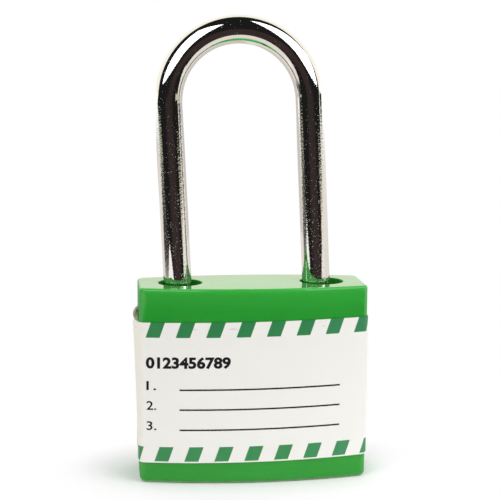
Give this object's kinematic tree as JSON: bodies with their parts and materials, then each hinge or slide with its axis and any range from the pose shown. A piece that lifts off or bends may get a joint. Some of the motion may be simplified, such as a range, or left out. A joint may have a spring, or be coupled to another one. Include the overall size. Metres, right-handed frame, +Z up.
{
  "type": "safety padlock",
  "caption": "Safety lockout padlock with a glossy green plastic jacket, a white write-on label wrap, a tall chromed shackle that lifts, and a keyed cylinder that drives locking bolts.",
  "frame": {"origin": "middle of the jacket's flat base, on the cylinder's axis", "axes": "+Z up along the body towards the shackle, +X to the right of the labelled front, which looks along -Y"},
  "size_m": [0.0504, 0.0202, 0.099],
  "materials": {
    "jacket": "glossy moulded green plastic",
    "base": "satin moulded green plastic",
    "label": "satin white vinyl with green stripes",
    "shackle": "bright chrome on steel",
    "lock_body": "machined grey metal",
    "rivet": "dark polished steel",
    "brass": "turned brass",
    "steel": "ground steel",
    "spring": "drawn spring wire"
  },
  "bodies": {
    "case": {"jacket": "jacket", "jacket_base": "base", "label": "label", "jacket_rivet": "rivet", "lock_body": "lock_body", "shackle_retaining_pin": "steel", "cylinder_retaining_pin": "steel", "shackle_spring": "spring", "cylinder_shell": "brass", "chamber_cover": "brass", "driver_pin_1": "steel", "driver_pin_2": "steel", "driver_pin_3": "steel", "driver_pin_4": "steel", "driver_pin_5": "steel", "pin_spring_1": "spring", "pin_spring_2": "spring", "pin_spring_3": "spring", "pin_spring_4": "spring", "pin_spring_5": "spring"},
    "shackle": {"shackle": "shackle"},
    "plug": {"cylinder_plug": "brass", "plug_clip": "steel", "locking_cam": "steel", "cam_screw": "steel", "key_pin_1": "brass", "key_pin_2": "brass", "key_pin_3": "brass", "key_pin_4": "brass", "key_pin_5": "brass"},
    "bolt_left": {"locking_bolt_left": "steel"},
    "bolt_right": {"locking_bolt_right": "steel"}
  },
  "joints": [
    {"name": "shackle_lift", "type": "slide", "parent": "case", "child": "shackle", "axis": [-0.0495, 0, 0.9988], "range_m": [0, 0.0113], "deforming": ["shackle_spring"]},
    {"name": "plug_turn", "type": "hinge", "parent": "case", "child": "plug", "pos_m": [0, 0, 0.02], "axis": [0, 0, 1], "range_deg": [-90, 0]},
    {"name": "bolt_left_slide", "type": "slide", "parent": "case", "child": "bolt_left", "axis": [-1, 0, 0], "range_m": [0, 0.00261]},
    {"name": "bolt_right_slide", "type": "slide", "parent": "case", "child": "bolt_right", "axis": [1, 0, 0], "range_m": [0, 0.00261]}
  ],
  "couplings": [
    {"joint": "bolt_left_slide", "follows": "plug_turn", "m_per_rad": -0.0016552},
    {"joint": "bolt_right_slide", "follows": "plug_turn", "m_per_rad": -0.0016552}
  ]
}
